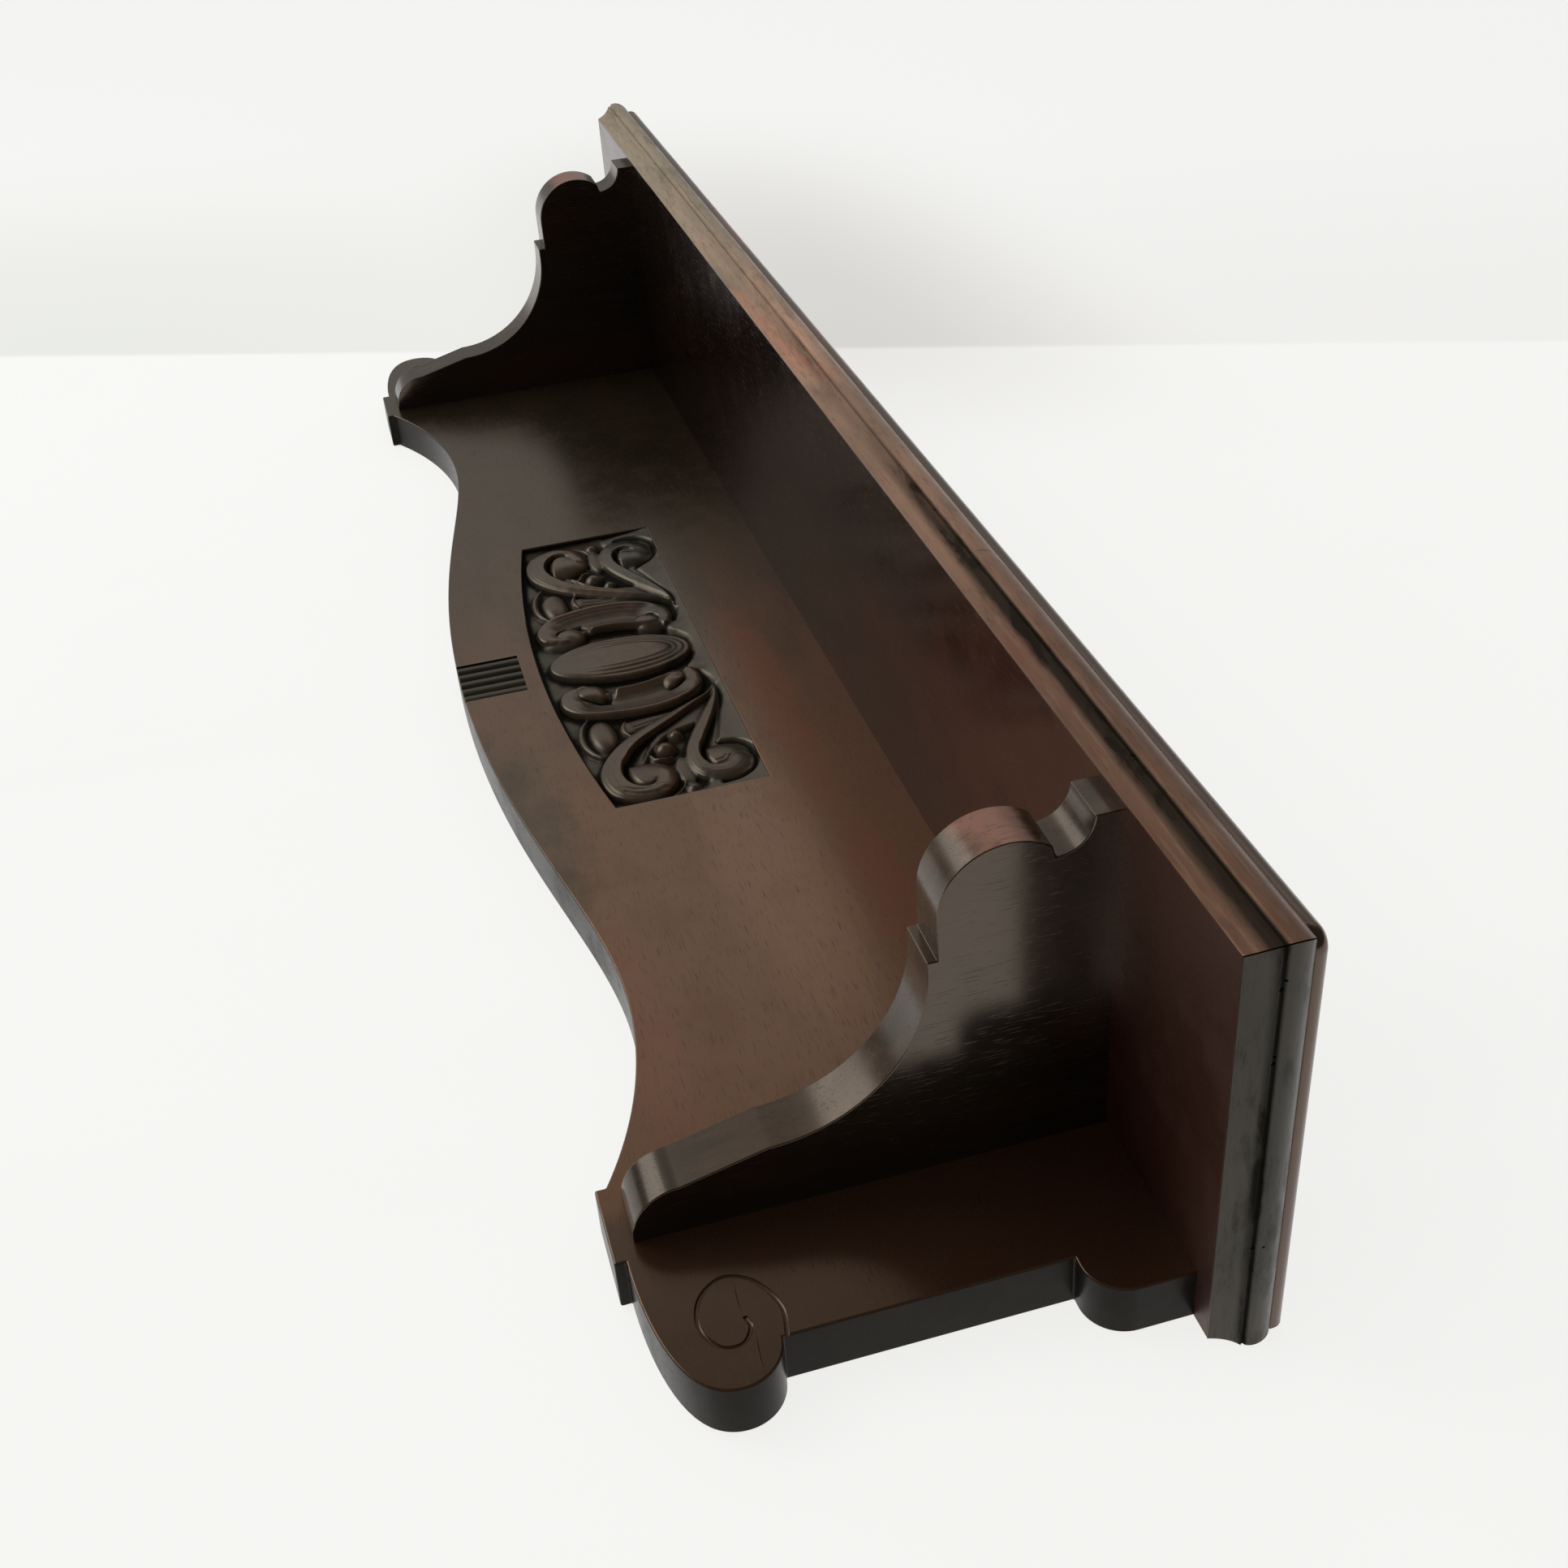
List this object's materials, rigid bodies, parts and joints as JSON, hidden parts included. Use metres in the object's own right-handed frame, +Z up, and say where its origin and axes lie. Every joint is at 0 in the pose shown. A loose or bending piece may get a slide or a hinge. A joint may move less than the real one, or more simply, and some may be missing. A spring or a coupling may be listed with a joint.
{
  "type": "wall shelf",
  "caption": "Long wooden wall shelf with a moulded edge, profiled brackets and a shaped back board with a sunk carved panel and reeds.",
  "frame": {"origin": "on the wall face, midway between the two wall screws that the shelf hangs on", "axes": "+X to the right along the shelf seen from the room, +Y into the wall, +Z up"},
  "size_m": [0.813, 0.1437, 0.1758],
  "materials": {
    "back_wood": "polished dark mahogany",
    "shelf_wood": "polished red-brown mahogany",
    "moulding_wood": "polished mahogany, rubbed paler on its edges",
    "bracket_wood": "polished dark mahogany",
    "plate_brass": "dull brass",
    "screw_steel": "dull steel"
  },
  "bodies": {
    "root": {"back_board": "back_wood", "shelf_board": "shelf_wood", "top_board": "shelf_wood", "front_moulding": "moulding_wood", "left_end_moulding": "moulding_wood", "right_end_moulding": "moulding_wood", "left_bracket": "bracket_wood", "right_bracket": "bracket_wood", "left_hanging_plate": "plate_brass", "right_hanging_plate": "plate_brass", "left_bracket_back_screw_1": "screw_steel", "left_bracket_top_screw_1": "screw_steel", "left_plate_screw_1": "plate_brass", "left_bracket_back_screw_2": "screw_steel", "left_bracket_top_screw_2": "screw_steel", "left_plate_screw_2": "plate_brass", "left_end_pin_1": "screw_steel", "left_end_pin_2": "screw_steel", "left_end_pin_3": "screw_steel", "right_bracket_back_screw_1": "screw_steel", "right_bracket_top_screw_1": "screw_steel", "right_plate_screw_1": "plate_brass", "right_bracket_back_screw_2": "screw_steel", "right_bracket_top_screw_2": "screw_steel", "right_plate_screw_2": "plate_brass", "right_end_pin_1": "screw_steel", "right_end_pin_2": "screw_steel", "right_end_pin_3": "screw_steel", "board_screw_1": "screw_steel", "board_screw_2": "screw_steel", "board_screw_3": "screw_steel", "board_screw_4": "screw_steel", "front_pin_1": "screw_steel", "front_pin_2": "screw_steel", "front_pin_3": "screw_steel", "front_pin_4": "screw_steel", "front_pin_5": "screw_steel"}
  },
  "joints": []
}
